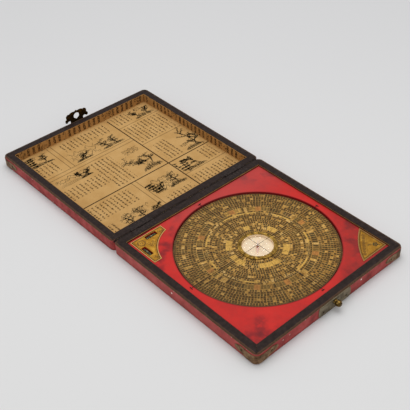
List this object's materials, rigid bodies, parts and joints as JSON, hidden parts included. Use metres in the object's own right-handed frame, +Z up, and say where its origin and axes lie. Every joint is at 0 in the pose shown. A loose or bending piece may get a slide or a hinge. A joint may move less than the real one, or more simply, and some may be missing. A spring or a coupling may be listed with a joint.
{
  "type": "feng shui compass",
  "caption": "Square leather-covered box, open flat on its hinges, with a turning ringed dial, a pivoted needle under glass, crossed sighting threads, spirit levels, a hasp and a knob.",
  "frame": {"origin": "centre of the base's underside, straight below the needle's pivot, with the box open flat", "axes": "+X along the hinges towards the right side, +Y from the clasp across the base and on over the open lid, +Z up"},
  "size_m": [0.2224, 0.4517, 0.029],
  "materials": {
    "red_covering": "worn brick-red grained covering",
    "covered_board": "board under the same red covering",
    "dark_rim": "near-black stained rim, mottled",
    "bare_wood": "bare board",
    "red_lacquer": "bright red satin lacquer",
    "gilt_edging": "thin tan edging",
    "gilt": "gilt sheet with dark stamped lines",
    "vial_glass": "glass vial of green spirit",
    "thread": "dark twisted thread",
    "aged_brass": "dull aged brass sheet",
    "turned_brass": "turned, half-polished brass",
    "dark_bronze": "near-black bronze",
    "printed_dial": "olive-tan dial with dark ring marks",
    "white_enamel": "warm white",
    "clear_glass": "clear flat glass",
    "painted_needle": "thin painted steel",
    "lining_paper": "aged paper with dark ruled columns and marks"
  },
  "bodies": {
    "base": {"base_bottom_board": "covered_board", "base_wall_front": "dark_rim", "base_wall_right": "dark_rim", "base_wall_back": "dark_rim", "base_wall_left": "dark_rim", "base_covering": "red_covering", "base_guard_left": "aged_brass", "base_guard_left_nail_1": "aged_brass", "base_guard_left_nail_2": "aged_brass", "base_guard_right": "aged_brass", "base_guard_right_nail_1": "aged_brass", "base_guard_right_nail_2": "aged_brass", "bed_board": "bare_wood", "red_panel": "red_lacquer", "panel_edging": "gilt_edging", "level_plate": "gilt", "ornament_plate": "gilt", "level_vial_hinge_side": "vial_glass", "level_vial_left_side": "vial_glass", "thread_left_right": "thread", "thread_front_back": "thread", "clasp_plate": "aged_brass", "clasp_nail_1": "aged_brass", "clasp_nail_2": "aged_brass", "clasp_knob": "turned_brass", "hinge_left_base_leaf": "dark_bronze", "hinge_right_base_leaf": "dark_bronze", "hinge_left_pin": "dark_bronze", "hinge_right_pin": "dark_bronze"},
    "dial": {"dial_plate": "printed_dial", "compass_cup": "white_enamel", "compass_card": "white_enamel", "compass_pivot": "turned_brass", "compass_glass": "clear_glass", "compass_bezel": "turned_brass"},
    "needle": {"needle": "painted_needle", "needle_cap": "turned_brass"},
    "lid": {"lid_board": "covered_board", "lid_wall_front": "dark_rim", "lid_wall_left": "dark_rim", "lid_wall_back": "dark_rim", "lid_wall_right": "dark_rim", "lid_covering": "red_covering", "lid_guard_right": "aged_brass", "lid_guard_right_nail_1": "aged_brass", "lid_guard_right_nail_2": "aged_brass", "lid_guard_left": "aged_brass", "lid_guard_left_nail_1": "aged_brass", "lid_guard_left_nail_2": "aged_brass", "lid_lining": "lining_paper", "hinge_left_lid_leaf": "dark_bronze", "hinge_right_lid_leaf": "dark_bronze", "hasp_plate": "dark_bronze", "hasp_plate_nail_1": "aged_brass", "hasp_plate_nail_2": "aged_brass", "hasp_pin": "dark_bronze"},
    "hasp": {"hasp": "dark_bronze"}
  },
  "joints": [
    {"name": "lid_hinge", "type": "hinge", "parent": "base", "child": "lid", "pos_m": [0, 0.11015, 0.01495], "axis": [1, 0, 0], "range_deg": [0, 180]},
    {"name": "hasp_hinge", "type": "hinge", "parent": "lid", "child": "hasp", "pos_m": [0, 0.33205, 0.0104], "axis": [-1, 0, 0], "range_deg": [0, 110]},
    {"name": "dial_spin", "type": "hinge", "parent": "base", "child": "dial", "pos_m": [0, 0, 0.0099], "axis": [0, 0, 1], "continuous": true},
    {"name": "needle_spin", "type": "hinge", "parent": "dial", "child": "needle", "pos_m": [0, 0, 0.0105], "axis": [0, 0, 1], "continuous": true}
  ]
}
